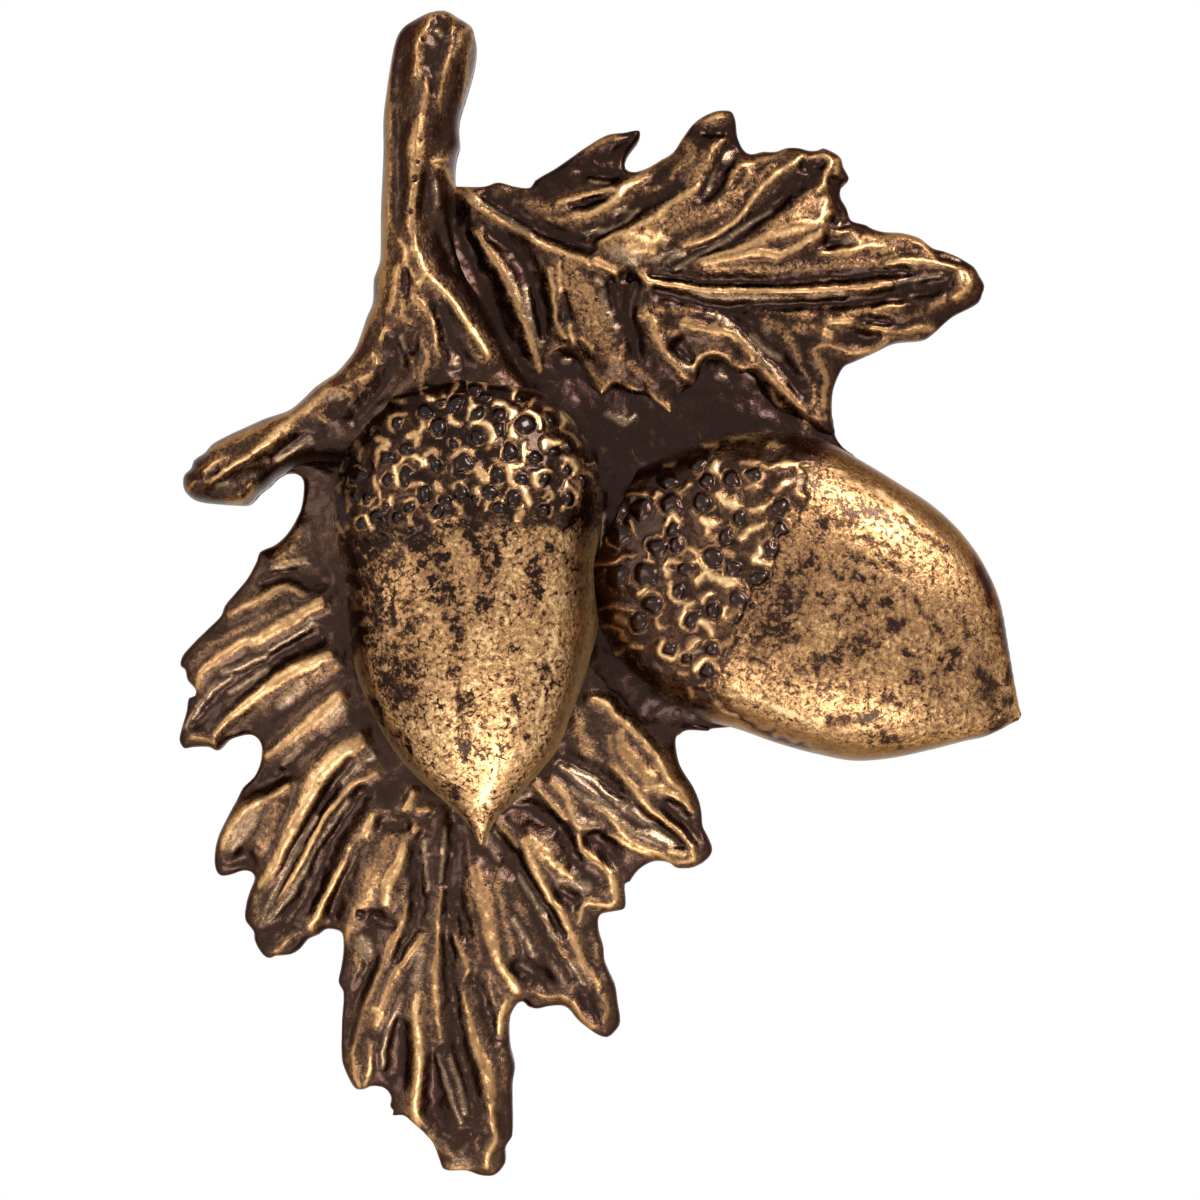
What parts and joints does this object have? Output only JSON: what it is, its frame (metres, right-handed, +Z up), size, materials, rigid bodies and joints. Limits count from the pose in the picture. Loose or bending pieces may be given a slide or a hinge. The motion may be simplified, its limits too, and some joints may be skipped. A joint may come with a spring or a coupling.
{
  "type": "acorn branch drawer pull",
  "caption": "Cast brass drawer pull shaped as an oak twig with leaves and acorns, on screw posts for a drawer front.",
  "frame": {"origin": "on the drawer front's surface, midway between the axes of the upper and the lower screw post", "axes": "+X to the right and +Z up as the pull is seen on an upright drawer front; -Y out of the drawer front towards the hand"},
  "size_m": [0.07, 0.0261, 0.0971],
  "materials": {
    "antique_cast_brass": "antique, dark in the hollows and rubbed bright on the high places"
  },
  "bodies": {
    "root": {"casting": "antique_cast_brass"}
  },
  "joints": []
}
